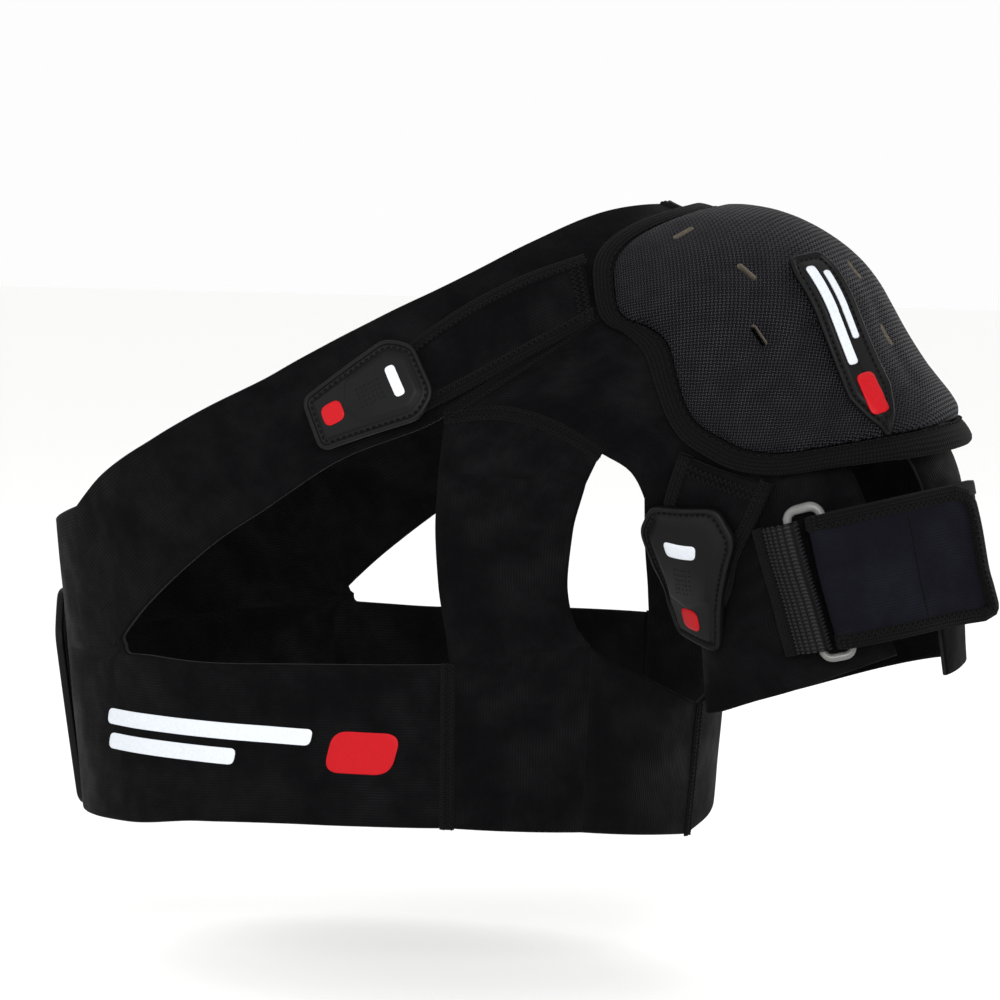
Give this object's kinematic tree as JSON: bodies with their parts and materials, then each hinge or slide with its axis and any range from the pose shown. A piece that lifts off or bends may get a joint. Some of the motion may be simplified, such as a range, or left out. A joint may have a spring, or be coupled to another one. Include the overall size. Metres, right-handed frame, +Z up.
{
  "type": "shoulder brace",
  "caption": "Worn left-shoulder brace: neoprene chest harness with triangular openings, half sleeve with a strap through a loop, and a padded shoulder cap on straps with rubber tabs.",
  "frame": {"origin": "top of the wearer's left shoulder, on the inner face of the neoprene, where the brace hangs from the shoulder", "axes": "+Z up, +X to the wearer's left and out along the shoulder, -Y to the wearer's front"},
  "size_m": [0.4728, 0.2576, 0.2978],
  "materials": {
    "neoprene": "matte nylon-faced neoprene",
    "moulded_rubber": "satin moulded rubber",
    "binding": "stretch binding tape",
    "nylon_mesh": "coarse woven nylon",
    "elastic_webbing": "ribbed elastic webbing",
    "grey_plastic": "satin moulded plastic",
    "navy_neoprene": "matte nylon-faced neoprene"
  },
  "bodies": {
    "root": {"harness_front": "neoprene", "side_panel_front": "neoprene", "cap_strap_upper_front": "neoprene", "cap_strap_lower_front": "neoprene", "tab_upper_front": "moulded_rubber", "tab_lower_front": "moulded_rubber", "harness_rear": "neoprene", "side_panel_rear": "neoprene", "cap_strap_upper_rear": "neoprene", "cap_strap_lower_rear": "neoprene", "tab_upper_rear": "moulded_rubber", "tab_lower_rear": "moulded_rubber", "sleeve_front": "neoprene", "sleeve_rear": "neoprene", "cap_rim": "binding", "cap_pad": "nylon_mesh", "cap_patch": "moulded_rubber", "belt_end": "neoprene", "tab_side": "moulded_rubber", "arm_webbing": "elastic_webbing", "arm_loop": "grey_plastic", "arm_strap": "navy_neoprene"}
  },
  "joints": []
}
